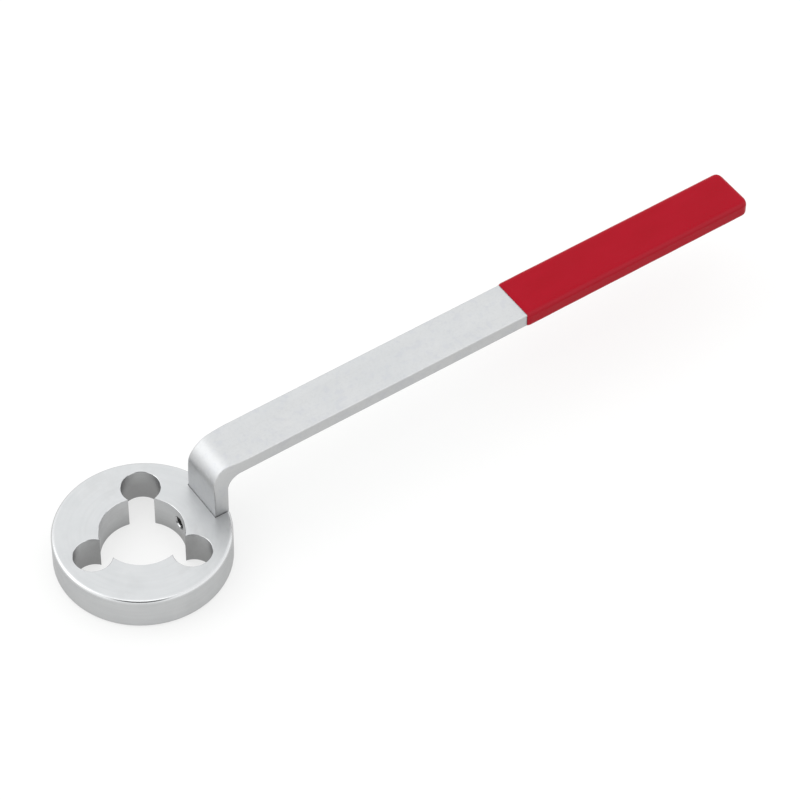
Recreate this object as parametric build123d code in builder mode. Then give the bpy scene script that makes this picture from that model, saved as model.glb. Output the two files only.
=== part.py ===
"""Three-lobe ring wrench with a cranked flat-bar handle and a dipped grip.

Frame, in millimetres: the origin is on the ring's axis at its bottom face, +Z points up
along that axis, and +X points along the handle. The wrench is symmetric about the XZ plane.
"""

from build123d import *
import os
from math import asin, cos, degrees, radians, sin

os.makedirs("parts", exist_ok=True)

# Head ring
RING_D = 88.0
RING_T = 19.0
RIM_ROUND = 2.0
BORE_D = 42.0
LOBE_D = 19.5
LOBE_PCD = 55.0
LOBE_COUNT = 3
FIRST_LOBE_ANGLE = 60.0
OPENING_BREAK = 0.2

# Notch in the rim that the handle's foot is let into
NOTCH_FLOOR_X = 34.0
NOTCH_SIDE_GAP = 0.05
NOTCH_BREAK = 0.25

# Flat bar of the handle. The leg stands up from the notch, and the arm goes out from the
# corner where the leg's and the arm's outer faces would meet, rising a little.
BAR_W = 25.0
BAR_T = 8.0
BAR_EDGE_R = 0.8
FOOT_BOTTOM_Z = 1.0
CORNER_Z = 49.7
ARM_RISE = 1.0
ARM_LENGTH = 322.0
BEND_OUTER_R = 12.0
BEND_INNER_R = 8.0
TIP_CORNER_R = 4.0

# The bar's sides are drawn in over the outside of the bend, where the metal was stretched.
# They start to curve this far inside the corner, and follow this radius.
DRAW_IN_DEPTH = 16.4
DRAW_IN_R = 44.0

# Dipped grip
GRIP_LENGTH = 139.0
COAT_T = 0.9
GRIP_EDGE_R = 2.5
GRIP_LIP_R = 0.5

# M6 x 16 countersunk screw with a hexagon socket, and its hole
SCREW_Z = 11.0
SCREW_D = 6.0
SCREW_LENGTH = 16.0
HEAD_D = 12.0
HEAD_RIM = 0.3
HEAD_SINK = 0.2
POINT_BEVEL = 0.8
SOCKET_AF = 4.0
SOCKET_DEPTH = 2.3
SCREW_GAP = 0.03
FOOT_HOLE_D = 6.4
HOLE_MOUTH_D = 7.0

# Places worked out from the sizes above
FOOT_FACE_X = NOTCH_FLOOR_X + BAR_T
RISE = radians(ARM_RISE)
screw_axis = Axis((0, 0, SCREW_Z), (1, 0, 0))
arm_plane = Plane(
    origin=(NOTCH_FLOOR_X, 0, CORNER_Z),
    x_dir=(cos(RISE), 0, sin(RISE)),
    z_dir=(-sin(RISE), 0, cos(RISE)),
)


def arm_point(along, depth):
    """X and Z of a point that far along the arm from the corner and below its top face."""
    point = arm_plane.from_local_coords((along, 0, -depth))
    return (point.X, point.Z)


# Head ring: a turned disc whose bore runs out into three round lobes
with BuildPart() as head_ring:
    with BuildSketch(Plane.XY):
        Circle(RING_D / 2)
        Circle(BORE_D / 2, mode=Mode.SUBTRACT)
        with PolarLocations(LOBE_PCD / 2, LOBE_COUNT, start_angle=FIRST_LOBE_ANGLE):
            Circle(LOBE_D / 2, mode=Mode.SUBTRACT)
    extrude(amount=RING_T)
    round_edges = head_ring.edges().filter_by(GeomType.CIRCLE).sort_by(SortBy.RADIUS)
    fillet(round_edges[-2:], radius=RIM_ROUND)
    chamfer(round_edges[:-2], length=OPENING_BREAK)

    # The notch goes through the whole thickness of the rim, with its top edges broken
    notch_w = BAR_W + 2 * NOTCH_SIDE_GAP
    with BuildSketch(Plane.XY):
        with Locations((NOTCH_FLOOR_X, 0)):
            Rectangle(RING_D, notch_w, align=(Align.MIN, Align.CENTER))
    extrude(amount=RING_T, mode=Mode.SUBTRACT)
    with BuildSketch(Plane.XY.offset(RING_T)):
        with Locations((NOTCH_FLOOR_X - NOTCH_BREAK, 0)):
            Rectangle(RING_D, notch_w + 2 * NOTCH_BREAK, align=(Align.MIN, Align.CENTER))
    extrude(amount=-NOTCH_BREAK, taper=45, mode=Mode.SUBTRACT)

    # Tapped hole from the notch floor into the bore. A 45 degree cone opens out its mouth,
    # and starts inside the open bore, where it is narrower than the bore.
    hole_r = SCREW_D / 2 + SCREW_GAP
    mouth_end_x = BORE_D / 2 + HOLE_MOUTH_D / 2 - hole_r
    cone_start_x = BORE_D / 4
    cone_start_r = hole_r + mouth_end_x - cone_start_x
    with BuildSketch(Plane.XZ):
        with BuildLine():
            Polyline(
                (cone_start_x, SCREW_Z),
                (cone_start_x, SCREW_Z + cone_start_r),
                (mouth_end_x, SCREW_Z + hole_r),
                (FOOT_FACE_X, SCREW_Z + hole_r),
                (FOOT_FACE_X, SCREW_Z),
                close=True,
            )
        make_face()
    revolve(axis=screw_axis, mode=Mode.SUBTRACT)

head_ring.part.label = "head_ring"
export_step(head_ring.part, "parts/head_ring.step")


# Handle bar: foot, leg, bend and arm in one piece of flat bar
with BuildPart() as handle_bar:
    inner_corner_along = BAR_T * (1 - sin(RISE)) / cos(RISE)
    with BuildSketch(Plane.XZ) as side_view:
        with BuildLine():
            Polyline(
                (NOTCH_FLOOR_X, FOOT_BOTTOM_Z),
                arm_point(0, 0),
                arm_point(ARM_LENGTH, 0),
                arm_point(ARM_LENGTH, BAR_T),
                arm_point(inner_corner_along, BAR_T),
                (FOOT_FACE_X, FOOT_BOTTOM_Z),
                close=True,
            )
        make_face()
        fillet(side_view.vertices().sort_by_distance(arm_point(0, 0))[0], BEND_OUTER_R)
        inner_corner = arm_point(inner_corner_along, BAR_T)
        fillet(side_view.vertices().sort_by_distance(inner_corner)[0], BEND_INNER_R)
    extrude(amount=BAR_W, both=True)

    # Outline of the bar's sides, seen along the diagonal of the corner
    crown_plane = Plane(origin=arm_plane.origin, x_dir=(-1, 0, 1), z_dir=(-1, 0, -1))
    draw_in_angle = degrees(asin(DRAW_IN_DEPTH / DRAW_IN_R))
    with BuildSketch(crown_plane):
        with BuildLine():
            curve_centre = (-DRAW_IN_DEPTH, BAR_W / 2 - DRAW_IN_R)
            curved_side = CenterArc(curve_centre, DRAW_IN_R, 90, -draw_in_angle)
            flat_side = Line(curved_side @ 0, (-ARM_LENGTH, BAR_W / 2))
            Line(flat_side @ 1, (-ARM_LENGTH, 0))
            Line(curved_side @ 1, (0, 0))
            mirror(about=Plane.XZ)
        make_face()
    extrude(amount=ARM_LENGTH, both=True, mode=Mode.INTERSECT)

    tip_face = handle_bar.faces().sort_by(Axis.X)[-1]
    fillet(tip_face.edges().filter_by(Axis.Y, reverse=True), radius=TIP_CORNER_R - COAT_T)
    fillet(handle_bar.edges(), radius=BAR_EDGE_R)

    # Countersunk hole through the foot: its cone fits the screw head's cone
    sink_r = HEAD_D / 2 + HEAD_RIM + HEAD_SINK + SCREW_GAP
    with Locations(Plane(origin=(FOOT_FACE_X, 0, SCREW_Z), z_dir=(1, 0, 0))):
        CounterSinkHole(radius=FOOT_HOLE_D / 2, counter_sink_radius=sink_r, counter_sink_angle=90)

handle_bar.part.label = "handle_bar"
export_step(handle_bar.part, "parts/handle_bar.step")


# Grip: a soft skin that the end of the bar is dipped in
with BuildPart() as grip_sleeve:
    grip_start = ARM_LENGTH + COAT_T - GRIP_LENGTH
    with BuildSketch(arm_plane.offset(COAT_T)):
        with Locations((grip_start, 0)):
            Rectangle(GRIP_LENGTH, BAR_W + 2 * COAT_T, align=(Align.MIN, Align.CENTER))
    extrude(amount=-(BAR_T + 2 * COAT_T))
    grip_tip = grip_sleeve.faces().sort_by(Axis.X)[-1]
    fillet(grip_tip.edges().filter_by(Axis.Y, reverse=True), radius=TIP_CORNER_R)
    lip_edges = grip_sleeve.faces().sort_by(Axis.X)[0].edges()
    fillet(grip_sleeve.edges() - lip_edges, radius=GRIP_EDGE_R)
    fillet(grip_sleeve.faces().sort_by(Axis.X)[0].edges(), radius=GRIP_LIP_R)
    add(handle_bar.part, mode=Mode.SUBTRACT)

grip_sleeve.part.label = "grip_sleeve"
export_step(grip_sleeve.part, "parts/grip_sleeve.step")


# Foot screw: its point stops inside the ring, short of the bore
with BuildPart() as foot_screw:
    head_x = FOOT_FACE_X - HEAD_SINK
    point_x = head_x - SCREW_LENGTH
    head_r = HEAD_D / 2
    shank_r = SCREW_D / 2
    cone_x = head_x - HEAD_RIM
    with BuildSketch(Plane.XZ):
        with BuildLine():
            Polyline(
                (point_x, SCREW_Z),
                (point_x, SCREW_Z + shank_r - POINT_BEVEL),
                (point_x + POINT_BEVEL, SCREW_Z + shank_r),
                (cone_x - head_r + shank_r, SCREW_Z + shank_r),
                (cone_x, SCREW_Z + head_r),
                (head_x, SCREW_Z + head_r),
                (head_x, SCREW_Z),
                close=True,
            )
        make_face()
    revolve(axis=screw_axis)
    with BuildSketch(Plane.YZ.offset(head_x)):
        with Locations((0, SCREW_Z)):
            RegularPolygon(SOCKET_AF / 2, 6, major_radius=False)
    extrude(amount=-SOCKET_DEPTH, mode=Mode.SUBTRACT)

foot_screw.part.label = "foot_screw"
export_step(foot_screw.part, "parts/foot_screw.step")
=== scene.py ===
"""Looks for the three-lobe ring wrench: its materials, dipped grip, screw thread, light and camera.

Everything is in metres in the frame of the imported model, and the places of the built pieces
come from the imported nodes' boxes.
"""

from math import cos, pi, radians, sin, sqrt, tau

import bmesh
import bpy
from mathutils import Matrix, Vector, noise


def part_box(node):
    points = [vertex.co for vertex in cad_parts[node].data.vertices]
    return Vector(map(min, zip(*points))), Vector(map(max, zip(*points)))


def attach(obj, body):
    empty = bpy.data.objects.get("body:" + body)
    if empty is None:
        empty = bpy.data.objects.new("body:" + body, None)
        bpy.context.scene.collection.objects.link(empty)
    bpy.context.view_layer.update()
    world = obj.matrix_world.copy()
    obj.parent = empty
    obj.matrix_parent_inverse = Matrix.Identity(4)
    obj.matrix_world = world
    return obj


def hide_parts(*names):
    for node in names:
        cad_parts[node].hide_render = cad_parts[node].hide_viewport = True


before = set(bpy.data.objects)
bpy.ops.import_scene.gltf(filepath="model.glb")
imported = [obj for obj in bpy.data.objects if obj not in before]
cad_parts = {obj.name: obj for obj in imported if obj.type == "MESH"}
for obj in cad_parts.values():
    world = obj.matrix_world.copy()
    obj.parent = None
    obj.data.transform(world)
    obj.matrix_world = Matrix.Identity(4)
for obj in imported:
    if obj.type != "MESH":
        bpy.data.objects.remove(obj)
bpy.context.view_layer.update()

MM = 0.001

# Shape of the handle, which the grain and the grip follow
ARM_RISE = radians(1.0)
BAR_W = 25.0 * MM
BAR_T = 8.0 * MM
BAR_EDGE_R = 0.8 * MM
CORNER_Z = 49.7 * MM
COAT_T = 0.9 * MM
GRIP_EDGE_R = 2.5 * MM
GRIP_CORNER_R = 4.0 * MM

# Skin of the grip: its thickness at the lip, the length over which it thickens, how uneven it is
# and the length over which that starts, its turn-in at the lip, and its gap to the bar
LIP_T = 0.3 * MM
LIP_LENGTH = 2.2 * MM
SKIN_UNEVEN = 0.16 * MM
UNEVEN_FROM = 4.0 * MM
TIP_UNEVEN = 0.1 * MM
LIP_TURN_IN = (3.0 * MM, 0.05 * MM)
SKIN_GAP = 0.02 * MM

# Openings of the ring, which all lie inside this radius, and the thread of its tapped hole
OPENINGS_R = 40.0 * MM
THREAD_PITCH = 1.0 * MM
THREAD_ROOT_R = 3.05 * MM
THREAD_CREST_R = 2.55 * MM
THREAD_MOUTH_X = 21.9 * MM
THREAD_AXIS_Z = 11.0 * MM

# Camera, measured from the ring's axis at the ring's bottom face
CAMERA_AZIMUTH = radians(-35.05)
CAMERA_ELEVATION = radians(48.55)
CAMERA_ROLL = radians(1.06)
CAMERA_DISTANCE = 1.744
CAMERA_RIGHT = 0.12461
CAMERA_UP = 0.07563
CAMERA_LENS = 161.46

# Studio tent: its level, and its patches as direction, inner and outer angle in degrees, and
# strength. One shines overhead, one lights the bend, and the last is the tent's dark front gap.
TENT_COLOR = (0.985, 0.995, 1.0, 1)
TENT_LEVEL = 1.36
TENT_PATCHES = (
    ((-0.22, -0.32, 1.0), 9, 21, 1.05),
    ((-0.66, 0.54, 0.56), 8, 46, 0.14),
    ((-0.38, -0.54, 0.62), 12, 32, -1.19),
)

# Soft light beside the tent, and the floor
LIGHT_PLACE = Vector((-1.2, 1.0, 1.45))
LIGHT_TARGET = Vector((0.12, 0, 0))
LIGHT_SIZE = 1.8
LIGHT_POWER = 6.8
FLOOR_HALF = 3.0
FLOOR_GAP = 0.05 * MM
FLOOR_COLOR = (0.29, 0.29, 0.285, 1)
FLOOR_GLOW = 0.645


# ---------------------------------------------------------------- shader graph helper


class Graph:
    """A material's node tree, with short calls for the few nodes that every material uses."""

    def __init__(self, name):
        self.material = bpy.data.materials.new(name)
        self.material.use_nodes = True
        self.tree = self.material.node_tree
        self.shader = self.tree.nodes["Principled BSDF"]
        coordinates = self.tree.nodes.new("ShaderNodeTexCoord")
        self.position = coordinates.outputs["Object"]
        self.normal = coordinates.outputs["Normal"]

    def put(self, socket, value):
        """Links an output to the socket, or sets a plain value on it."""
        if isinstance(value, bpy.types.NodeSocket):
            self.tree.links.new(value, socket)
        else:
            socket.default_value = value

    def math(self, operation, *values):
        node = self.tree.nodes.new("ShaderNodeMath")
        node.operation = operation
        for socket, value in zip(node.inputs, values):
            self.put(socket, value)
        return node.outputs[0]

    def add(self, a, b):
        return self.math("ADD", a, b)

    def times(self, a, b):
        return self.math("MULTIPLY", a, b)

    def split(self, vector):
        node = self.tree.nodes.new("ShaderNodeSeparateXYZ")
        self.put(node.inputs[0], vector)
        return node.outputs[0], node.outputs[1], node.outputs[2]

    def join(self, x, y, z):
        node = self.tree.nodes.new("ShaderNodeCombineXYZ")
        for socket, value in zip(node.inputs, (x, y, z)):
            self.put(socket, value)
        return node.outputs[0]

    def scaled(self, vector, x, y, z):
        """The vector with each of its parts scaled."""
        node = self.tree.nodes.new("ShaderNodeVectorMath")
        node.operation = "MULTIPLY"
        self.put(node.inputs[0], vector)
        node.inputs[1].default_value = (x, y, z)
        return node.outputs[0]

    def noise(self, vector, scale=1.0, detail=2.0, roughness=0.5):
        node = self.tree.nodes.new("ShaderNodeTexNoise")
        self.put(node.inputs["Vector"], vector)
        node.inputs["Scale"].default_value = scale
        node.inputs["Detail"].default_value = detail
        node.inputs["Roughness"].default_value = roughness
        return node.outputs["Fac"]

    def remap(self, value, low, high, to_low=0.0, to_high=1.0):
        """Takes low..high to to_low..to_high, and holds the ends."""
        node = self.tree.nodes.new("ShaderNodeMapRange")
        node.interpolation_type = "SMOOTHSTEP"
        self.put(node.inputs["Value"], value)
        node.inputs["From Min"].default_value = low
        node.inputs["From Max"].default_value = high
        node.inputs["To Min"].default_value = to_low
        node.inputs["To Max"].default_value = to_high
        return node.outputs["Result"]

    def mix(self, amount, color_a, color_b):
        node = self.tree.nodes.new("ShaderNodeMix")
        node.data_type = "RGBA"
        self.put(node.inputs["Factor"], amount)
        self.put(node.inputs["A"], color_a)
        self.put(node.inputs["B"], color_b)
        return node.outputs["Result"]

    def sheltered(self, distance):
        """1 in corners and hollows that small, 0 in the open: the mask for painted shade."""
        node = self.tree.nodes.new("ShaderNodeAmbientOcclusion")
        node.samples = 12
        node.inputs["Distance"].default_value = distance
        return self.remap(node.outputs["AO"], 0.15, 0.95, 1.0, 0.0)

    def bump(self, height, distance, under=None):
        """A bump of that height in metres, on top of another one if given."""
        node = self.tree.nodes.new("ShaderNodeBump")
        node.inputs["Distance"].default_value = distance
        self.put(node.inputs["Height"], height)
        if under is not None:
            self.put(node.inputs["Normal"], under)
        return node.outputs[0]

    def finish(self, color, roughness, normal, **sockets):
        """Links the surface to the shader, and sets its other sockets to plain values."""
        self.put(self.shader.inputs["Base Color"], color)
        self.put(self.shader.inputs["Roughness"], roughness)
        self.put(self.shader.inputs["Normal"], normal)
        for name, value in sockets.items():
            self.shader.inputs[name.replace("_", " ")].default_value = value
        return self.material


def round_edge(graph, component):
    """1 in the middle of a rounded edge and 0 on the faces beside it, from one part of the normal."""
    square = graph.times(component, component)
    return graph.times(graph.times(square, graph.math("SUBTRACT", 1.0, square)), 4.0)


# ---------------------------------------------------------------- materials

# The plating takes some of the light that metal mirrors at grazing angles
GRAZING_TINT = (0.78, 0.78, 0.78, 1)

# Painted shade that the metal falls to on its walls, inside the openings, low on the leg and in corners
WALL_SHADE = (0.36, 0.36, 0.355, 1)
OPENING_SHADE = (0.235, 0.235, 0.233, 1)
LEG_SHADE = (0.24, 0.24, 0.24, 1)
CORNER_SHADE = (0.286, 0.289, 0.293, 1)


def turned_steel():
    """Satin plated steel of the ring, with the fine circles that turning leaves."""
    g = Graph("turned_steel")
    x, y, z = g.split(g.position)
    radius = g.math("SQRT", g.add(g.times(x, x), g.times(y, y)))
    angle = g.math("ARCTAN2", y, x)
    facing_up = g.split(g.normal)[2]
    edge = round_edge(g, facing_up)
    upright = g.math("LESS_THAN", g.math("ABSOLUTE", facing_up), 0.5)
    in_openings = g.times(upright, g.math("LESS_THAN", radius, OPENINGS_R))

    fine = g.noise(g.join(g.times(radius, 3200.0), g.times(angle, 0.6), g.times(z, 3200.0)), detail=3.0)
    broad = g.noise(g.join(g.times(radius, 520.0), g.times(angle, 1.1), g.times(z, 520.0)), detail=2.0)
    mottle = g.noise(g.position, scale=95.0, detail=4.0, roughness=0.6)
    grit = g.noise(g.position, scale=2600.0, detail=2.0)
    handling = g.remap(g.noise(g.position, scale=38.0, detail=5.0, roughness=0.7), 0.52, 0.68)

    color = g.mix(mottle, (0.5, 0.511, 0.518, 1), (0.586, 0.589, 0.593, 1))
    color = g.mix(g.times(handling, 0.25), color, (0.471, 0.471, 0.468, 1))
    color = g.mix(g.times(g.remap(broad, 0.4, 0.75), 0.16), color, (0.429, 0.432, 0.436, 1))
    # Rounded edges and chamfers lighter: partly worn plating, partly a painted highlight along the rim
    color = g.mix(g.times(edge, 0.7), color, (0.629, 0.632, 0.636, 1))
    # Painted shade: walls darker, the openings' walls much darker where they close in, and corners darker
    color = g.mix(g.times(upright, 0.10), color, WALL_SHADE)
    closed_in = g.times(in_openings, g.sheltered(20.0 * MM))
    color = g.mix(g.times(closed_in, 0.80), color, OPENING_SHADE)
    color = g.mix(g.times(g.sheltered(9.0 * MM), 0.25), color, CORNER_SHADE)
    roughness = g.add(g.times(mottle, 0.10), g.times(broad, 0.12))
    roughness = g.add(roughness, g.add(g.times(handling, 0.05), g.times(edge, -0.22)))
    normal = g.bump(broad, 0.03 * MM)
    normal = g.bump(fine, 0.006 * MM, normal)
    normal = g.bump(grit, 0.004 * MM, normal)
    return g.finish(
        color, g.add(roughness, 0.26), normal, Metallic=1.0, Anisotropic=0.3, Specular_Tint=GRAZING_TINT
    )


def drawn_steel():
    """Satin plated flat bar, with lines drawn along its length and round the bend."""
    g = Graph("drawn_steel")
    x, y, z = g.split(g.position)
    from_back = g.add(x, -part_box("handle_bar")[0].x)
    from_top = g.add(g.math("SUBTRACT", CORNER_Z, z), g.times(from_back, sin(ARM_RISE) / cos(ARM_RISE)))
    depth = g.math("MINIMUM", from_back, from_top)
    along = g.math("SUBTRACT", from_back, from_top)
    facing_across = g.split(g.normal)[1]
    edge = round_edge(g, facing_across)
    side = g.math("GREATER_THAN", g.math("ABSOLUTE", facing_across), 0.7)

    streaks = g.noise(g.join(g.times(depth, 1500.0), g.times(y, 1500.0), g.times(along, 22.0)), detail=3.0)
    bands = g.noise(g.join(g.times(depth, 260.0), g.times(y, 260.0), g.times(along, 9.0)), detail=2.0)
    mottle = g.noise(g.position, scale=70.0, detail=4.0, roughness=0.6)
    cloud = g.noise(g.position, scale=210.0, detail=3.0, roughness=0.65)
    grit = g.noise(g.position, scale=2400.0, detail=2.0)
    worn = g.noise(g.position, scale=420.0, detail=3.0)
    speckle = g.remap(g.noise(g.position, scale=760.0, detail=2.0), 0.45, 0.75)

    color = g.mix(mottle, (0.5, 0.511, 0.521, 1), (0.579, 0.579, 0.579, 1))
    color = g.mix(g.times(g.remap(bands, 0.35, 0.75), 0.18), color, (0.493, 0.493, 0.489, 1))
    color = g.mix(g.times(g.remap(cloud, 0.5, 0.66), 0.42), color, (0.479, 0.486, 0.518, 1))
    color = g.mix(g.times(speckle, 0.22), color, (0.443, 0.446, 0.45, 1))
    color = g.mix(g.times(edge, g.remap(worn, 0.3, 0.7, 0.1, 0.6)), color, (0.643, 0.643, 0.639, 1))
    # Painted shade: sides darker, the leg's sides much darker low down near the ring, and corners a little
    # darker
    color = g.mix(g.times(side, 0.12), color, WALL_SHADE)
    low_side = g.times(side, g.sheltered(40.0 * MM))
    color = g.mix(g.times(low_side, 0.9), color, LEG_SHADE)
    color = g.mix(g.times(g.sheltered(9.0 * MM), 0.10), color, CORNER_SHADE)
    roughness = g.add(g.times(mottle, 0.10), g.times(streaks, 0.10))
    roughness = g.add(roughness, g.times(edge, -0.04))
    normal = g.bump(bands, 0.02 * MM)
    normal = g.bump(streaks, 0.008 * MM, normal)
    normal = g.bump(grit, 0.004 * MM, normal)
    return g.finish(
        color, g.add(roughness, 0.36), normal, Metallic=1.0, Anisotropic=0.2, Specular_Tint=GRAZING_TINT
    )


def zinc_steel():
    """Zinc plated screw, a little duller and warmer than the bar."""
    g = Graph("zinc_steel")
    mottle = g.noise(g.position, scale=600.0, detail=4.0, roughness=0.6)
    grit = g.noise(g.position, scale=5200.0, detail=2.0)
    edge = round_edge(g, g.split(g.normal)[0])
    color = g.mix(mottle, (0.329, 0.329, 0.321, 1), (0.443, 0.436, 0.421, 1))
    color = g.mix(g.times(edge, 0.35), color, (0.557, 0.55, 0.536, 1))
    normal = g.bump(grit, 0.006 * MM)
    return g.finish(color, g.add(g.times(mottle, 0.2), 0.26), normal, Metallic=1.0)


def cut_thread():
    """Bare steel of the tapped thread, coloured far darker than the plated steel as painted shade inside
    the hole.
    """
    g = Graph("cut_thread")
    x, y, z = g.split(g.position)
    mottle = g.noise(g.position, scale=1400.0, detail=3.0)
    swirl = g.noise(g.join(g.times(x, 9000.0), y, z), detail=2.0)
    # Painted shade: the whole thread is dark, as the inside of the hole is
    color = g.mix(mottle, (0.186, 0.179, 0.171, 1), (0.343, 0.336, 0.329, 1))
    normal = g.bump(swirl, 0.006 * MM)
    return g.finish(color, g.add(g.times(mottle, 0.2), 0.3), normal, Metallic=1.0)


def dipped_vinyl():
    """Soft red vinyl from a dip bath: a fine orange peel, slow sags, pores and dull rubbed places."""
    g = Graph("dipped_vinyl")
    peel = g.noise(g.position, scale=950.0, detail=2.0)
    sags = g.noise(g.scaled(g.position, 0.35, 1.0, 1.0), scale=120.0, detail=3.0)
    pores = g.remap(g.noise(g.position, scale=2600.0, detail=1.0), 0.66, 0.8)
    rubbing = g.noise(g.scaled(g.position, 0.5, 1.0, 1.0), scale=60.0, detail=5.0, roughness=0.65)
    rubbed = g.remap(rubbing, 0.45, 0.7)
    edge = round_edge(g, g.split(g.normal)[1])

    color = g.mix(sags, (0.293, 0.001, 0.008, 1), (0.339, 0.001, 0.012, 1))
    color = g.mix(g.times(rubbed, 0.22), color, (0.329, 0.004, 0.015, 1))
    # Painted sheen: the rounded edges are lighter red
    color = g.mix(g.times(edge, 0.55), color, (0.336, 0.021, 0.032, 1))
    color = g.mix(g.times(pores, 0.3), color, (0.157, 0.001, 0.006, 1))
    roughness = g.add(g.times(rubbed, 0.12), g.times(sags, 0.08))
    normal = g.bump(sags, 0.06 * MM)
    normal = g.bump(peel, 0.02 * MM, normal)
    normal = g.bump(pores, -0.01 * MM, normal)
    return g.finish(color, g.add(roughness, 0.28), normal, Specular_IOR_Level=0.085)


# ---------------------------------------------------------------- pieces built as meshes


def new_piece(name, points, faces, material, smooth=True):
    """A mesh object with its faces turned outwards and one material."""
    mesh = bpy.data.meshes.new(name)
    mesh.from_pydata(points, [], faces)
    shape = bmesh.new()
    shape.from_mesh(mesh)
    bmesh.ops.recalc_face_normals(shape, faces=shape.faces)
    shape.to_mesh(mesh)
    shape.free()
    for polygon in mesh.polygons:
        polygon.use_smooth = smooth
    mesh.materials.append(material)
    piece = bpy.data.objects.new(name, mesh)
    bpy.context.scene.collection.objects.link(piece)
    return piece


def bridge(first, second, count):
    """Quads between two closed loops of count points that start at these indices."""
    return [
        (first + i, first + (i + 1) % count, second + (i + 1) % count, second + i) for i in range(count)
    ]


def rounded_rectangle(half_w, half_t, radius, per_corner=9, per_side=14):
    """Points round a rectangle with rounded corners, in order, as (across, up) pairs."""
    points = []
    corners = ((1, 1), (-1, 1), (-1, -1), (1, -1))
    for quarter, (side, up) in enumerate(corners):
        centre = (side * (half_w - radius), up * (half_t - radius))
        for step in range(per_corner):
            angle = (quarter + step / (per_corner - 1)) * pi / 2
            points.append((centre[0] + radius * cos(angle), centre[1] + radius * sin(angle)))
        next_side, next_up = corners[(quarter + 1) % 4]
        last = points[-1]
        angle = (quarter + 1) * pi / 2
        target = (
            next_side * (half_w - radius) + radius * cos(angle),
            next_up * (half_t - radius) + radius * sin(angle),
        )
        for step in range(1, per_side):
            share = step / per_side
            points.append(tuple(a + (b - a) * share for a, b in zip(last, target)))
    return points


def inset(radius, overrun):
    """How far a quarter round of that radius has drawn in, that far past its start."""
    overrun = min(max(overrun, 0.0), radius)
    return radius - sqrt(max(radius * radius - overrun * overrun, 0.0))


def grip_stations(length, body_steps=96, tip_steps=16):
    """Distances along the grip of its loops: close together at the lip and the rounded tip."""
    lip = [0.0, 0.15 * MM, 0.4 * MM, 0.8 * MM, 1.3 * MM, 2.0 * MM]
    tip_start = length - GRIP_CORNER_R
    body = [lip[-1] + (tip_start - lip[-1]) * (i + 1) / body_steps for i in range(body_steps)]
    tip = [tip_start + GRIP_CORNER_R * sin(pi / 2 * (i + 1) / tip_steps) for i in range(tip_steps)]
    return lip + body + tip


def dipped_grip():
    """The grip as a skin of slightly uneven thickness, thinner at its lip and closed at its tip."""
    low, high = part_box("grip_sleeve")
    half_t = BAR_T / 2 + COAT_T
    half_w = BAR_W / 2 + COAT_T
    start = Vector((low.x + half_t * sin(ARM_RISE), 0, low.z + half_t * cos(ARM_RISE)))
    along = Vector((cos(ARM_RISE), 0, sin(ARM_RISE)))
    up = Vector((-sin(ARM_RISE), 0, cos(ARM_RISE)))
    across = Vector((0, 1, 0))
    length = (high.x - low.x - 2 * half_t * sin(ARM_RISE)) / cos(ARM_RISE)

    points, faces, loops = [], [], []

    def add_loop(distance, width, thickness, radius, uneven):
        loops.append(len(points))
        section = rounded_rectangle(width, thickness, radius)
        for side, rise in section:
            point = start + along * distance + across * side + up * rise
            coarse = noise.noise(point * 75.0)
            fine = noise.noise(point * 260.0 + Vector((7.0, 3.0, 5.0)))
            drop = uneven * (0.5 + 0.4 * coarse + 0.12 * fine)
            outward = across * (side / half_w) + up * (rise / half_t)
            points.append(point - outward.normalized() * drop)
        return len(section)

    for distance in LIP_TURN_IN:
        add_loop(distance, BAR_W / 2 + SKIN_GAP, BAR_T / 2 + SKIN_GAP, BAR_EDGE_R, 0.0)
    for distance in grip_stations(length):
        thin = (COAT_T - LIP_T) * (1 - min(distance / LIP_LENGTH, 1.0)) ** 2
        plan = inset(GRIP_CORNER_R, distance - (length - GRIP_CORNER_R))
        edge = inset(GRIP_EDGE_R, distance - (length - GRIP_EDGE_R))
        width = half_w - thin - plan
        thickness = half_t - thin - edge
        radius = min(GRIP_EDGE_R - thin, thickness * 0.98)
        uneven = SKIN_UNEVEN * min(distance / UNEVEN_FROM, 1.0)
        count = add_loop(distance, width, thickness, radius, uneven)
    for shrink in (0.6 * MM, 1.4 * MM):
        add_loop(length, width - shrink, thickness - shrink, radius - shrink, TIP_UNEVEN)
    for first, second in zip(loops, loops[1:]):
        faces.extend(bridge(second, first, count))
    faces.append(tuple(range(loops[-1], loops[-1] + count)))
    piece = new_piece("dipped_grip", points, faces, dipped_vinyl())
    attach(piece, "root")
    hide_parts("grip_sleeve")
    return piece


def tapped_thread(per_turn=48):
    """The thread that shows in the hole's mouth, from near the bore's wall to the screw's point."""
    end_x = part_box("foot_screw")[0].x - 0.1 * MM
    steps = int((end_x - THREAD_MOUTH_X - THREAD_PITCH) / THREAD_PITCH * per_turn)
    section = (
        (-0.42, THREAD_ROOT_R),
        (-0.07, THREAD_CREST_R),
        (0.07, THREAD_CREST_R),
        (0.42, THREAD_ROOT_R),
    )
    points, faces = [], []
    for step in range(steps + 1):
        angle = tau * step / per_turn
        x = THREAD_MOUTH_X + THREAD_PITCH * (0.5 + step / per_turn)
        for shift, radius in section:
            y, z = radius * cos(angle), THREAD_AXIS_Z + radius * sin(angle)
            points.append((x + shift * THREAD_PITCH, y, z))
    size = len(section)
    for step in range(steps):
        faces.extend(bridge(step * size, (step + 1) * size, size))
    faces.append(tuple(range(size)))
    faces.append(tuple(range(steps * size, (steps + 1) * size)))
    piece = new_piece("tapped_thread", points, faces, cut_thread(), smooth=False)
    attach(piece, "root")
    return piece


# ---------------------------------------------------------------- studio


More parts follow.
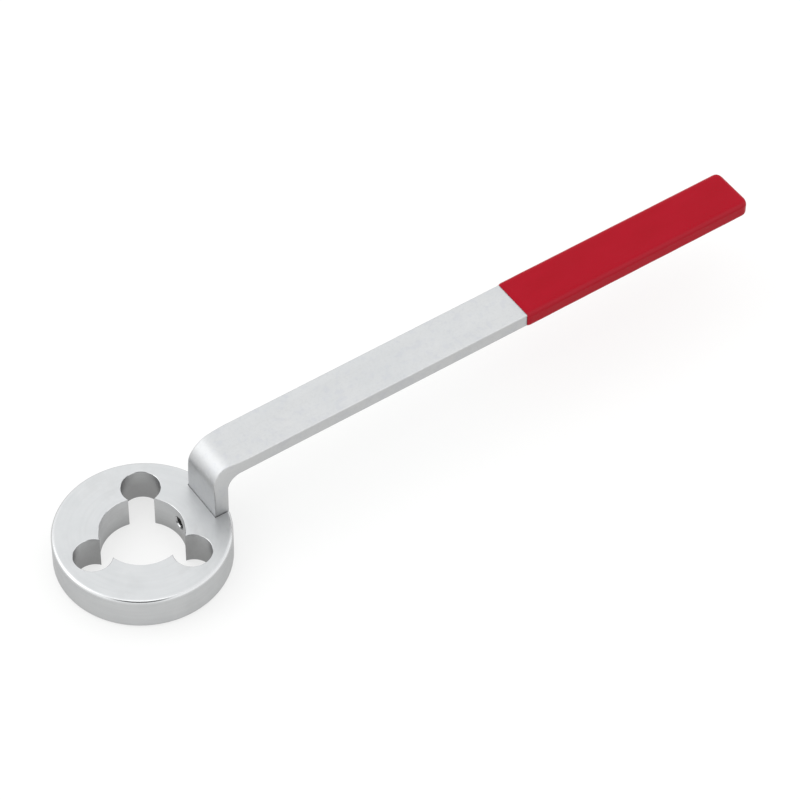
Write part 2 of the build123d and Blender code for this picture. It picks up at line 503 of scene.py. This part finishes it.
def floor_material():
    """Plain pale floor that glows a little, like a light table, so shadows on it stay faint."""
    material = bpy.data.materials.new("studio_floor")
    material.use_nodes = True
    surface = material.node_tree.nodes["Principled BSDF"].inputs
    surface["Base Color"].default_value = FLOOR_COLOR
    surface["Roughness"].default_value = 1.0
    surface["Specular IOR Level"].default_value = 0.0
    surface["Emission Color"].default_value = (1, 1, 1, 1)
    surface["Emission Strength"].default_value = FLOOR_GLOW
    return material


def studio_floor():
    """A wide square just under the ring's bottom face."""
    signs = ((-1, -1), (1, -1), (1, 1), (-1, 1))
    corners = [(along * FLOOR_HALF, across * FLOOR_HALF, 0) for along, across in signs]
    floor = new_piece("studio_floor", corners, [(0, 1, 2, 3)], floor_material(), smooth=False)
    floor.location.z = -FLOOR_GAP


def world_patch(tree, direction, toward, inner, outer, strength):
    """Strength within the inner angle of a fixed direction, in degrees, fading to 0 at the outer one."""
    dot = tree.nodes.new("ShaderNodeVectorMath")
    dot.operation = "DOT_PRODUCT"
    tree.links.new(direction, dot.inputs[0])
    dot.inputs[1].default_value = Vector(toward).normalized()
    fade = tree.nodes.new("ShaderNodeMapRange")
    fade.interpolation_type = "SMOOTHSTEP"
    fade.inputs["From Min"].default_value = cos(radians(outer))
    fade.inputs["From Max"].default_value = cos(radians(inner))
    fade.inputs["To Min"].default_value = 0.0
    fade.inputs["To Max"].default_value = strength
    tree.links.new(dot.outputs["Value"], fade.inputs["Value"])
    return fade.outputs["Result"]


def studio_world():
    """A white tent, even all round but for its patches."""
    world = bpy.data.worlds.new("studio")
    bpy.context.scene.world = world
    world.use_nodes = True
    tree = world.node_tree
    background = tree.nodes["Background"]
    direction = tree.nodes.new("ShaderNodeTexCoord").outputs["Generated"]
    background.inputs["Color"].default_value = TENT_COLOR
    total = None
    for toward, inner, outer, strength in TENT_PATCHES:
        patch = world_patch(tree, direction, toward, inner, outer, strength)
        plus = tree.nodes.new("ShaderNodeMath")
        plus.operation = "ADD"
        tree.links.new(patch, plus.inputs[0])
        if total is None:
            plus.inputs[1].default_value = TENT_LEVEL
        else:
            tree.links.new(total, plus.inputs[1])
        total = plus.outputs[0]
    tree.links.new(total, background.inputs["Strength"])


def side_light():
    """A large soft light behind the head, on its far side."""
    light = bpy.data.lights.new("side_light", "AREA")
    light.shape = "RECTANGLE"
    light.size = LIGHT_SIZE
    light.size_y = LIGHT_SIZE
    light.energy = LIGHT_POWER
    lamp = bpy.data.objects.new("side_light", light)
    lamp.location = LIGHT_PLACE
    lamp.rotation_euler = (LIGHT_TARGET - LIGHT_PLACE).to_track_quat("-Z", "Y").to_euler()
    bpy.context.scene.collection.objects.link(lamp)


def studio_camera():
    """The camera, turned towards the ring, rolled, and then moved sideways and up to frame the whole."""
    back = Vector((
        sin(CAMERA_AZIMUTH) * cos(CAMERA_ELEVATION),
        -cos(CAMERA_AZIMUTH) * cos(CAMERA_ELEVATION),
        sin(CAMERA_ELEVATION),
    ))
    level_right = Vector((cos(CAMERA_AZIMUTH), sin(CAMERA_AZIMUTH), 0))
    level_up = back.cross(level_right)
    right = level_right * cos(CAMERA_ROLL) + level_up * sin(CAMERA_ROLL)
    up = level_up * cos(CAMERA_ROLL) - level_right * sin(CAMERA_ROLL)
    camera = bpy.data.objects.new("camera", bpy.data.cameras.new("camera"))
    camera.data.lens = CAMERA_LENS
    turn = Matrix((right, up, back)).transposed()
    place = back * CAMERA_DISTANCE + right * CAMERA_RIGHT + up * CAMERA_UP
    camera.matrix_world = Matrix.Translation(place) @ turn.to_4x4()
    bpy.context.scene.collection.objects.link(camera)
    bpy.context.scene.camera = camera


def dress(node, material):
    """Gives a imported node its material."""
    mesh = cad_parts[node].data
    mesh.materials.clear()
    mesh.materials.append(material)


dress("head_ring", turned_steel())
dress("handle_bar", drawn_steel())
dress("foot_screw", zinc_steel())
dipped_grip()
tapped_thread()

studio_floor()
studio_world()
side_light()
studio_camera()
bpy.context.scene.view_settings.view_transform = "Standard"
